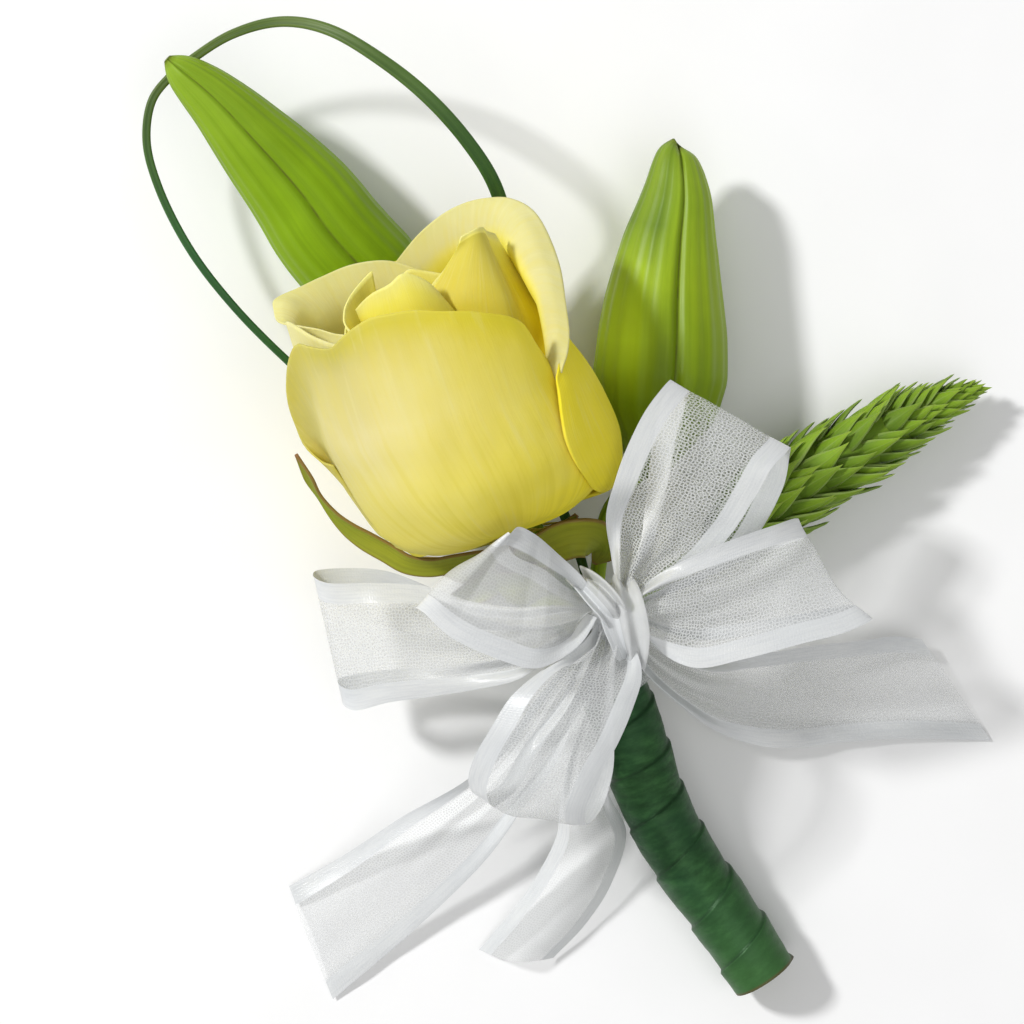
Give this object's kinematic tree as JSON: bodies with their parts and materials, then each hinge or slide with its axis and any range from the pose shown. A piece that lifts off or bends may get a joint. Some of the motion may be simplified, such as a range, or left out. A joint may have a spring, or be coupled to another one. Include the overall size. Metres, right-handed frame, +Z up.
{
  "type": "rose pin corsage",
  "caption": "Corsage lying on its back: pale yellow rose, lily buds, a bud spike and a grass loop, bound in green tape with a sheer white ribbon bow.",
  "frame": {"origin": "centre of the footprint, on the surface the corsage lies on", "axes": "+Z up from the surface, +Y from the taped handle towards the flowers, +X to the right as the picture shows it from above"},
  "size_m": [0.1523, 0.1744, 0.0623],
  "materials": {
    "petal": "matte",
    "rose_green": "matte",
    "lily_green": "satin",
    "grass_green": "satin",
    "spike_green": "matte",
    "crepe_tape": "matte",
    "sheer_ribbon": "satin"
  },
  "bodies": {
    "root": {"rose_bloom": "petal", "rose_calyx_and_stem": "rose_green", "left_lily_bud": "lily_green", "right_lily_bud": "lily_green", "grass_blade": "grass_green", "ornithogalum_spike": "spike_green", "stem_wrap_tape": "crepe_tape", "bow_knot": "sheer_ribbon", "bow_loop_down": "sheer_ribbon", "bow_loop_front": "sheer_ribbon", "bow_loop_upper": "sheer_ribbon", "bow_loop_right": "sheer_ribbon", "bow_loop_left": "sheer_ribbon", "bow_tail_left": "sheer_ribbon", "bow_tail_middle": "sheer_ribbon", "bow_tail_right": "sheer_ribbon"}
  },
  "joints": []
}
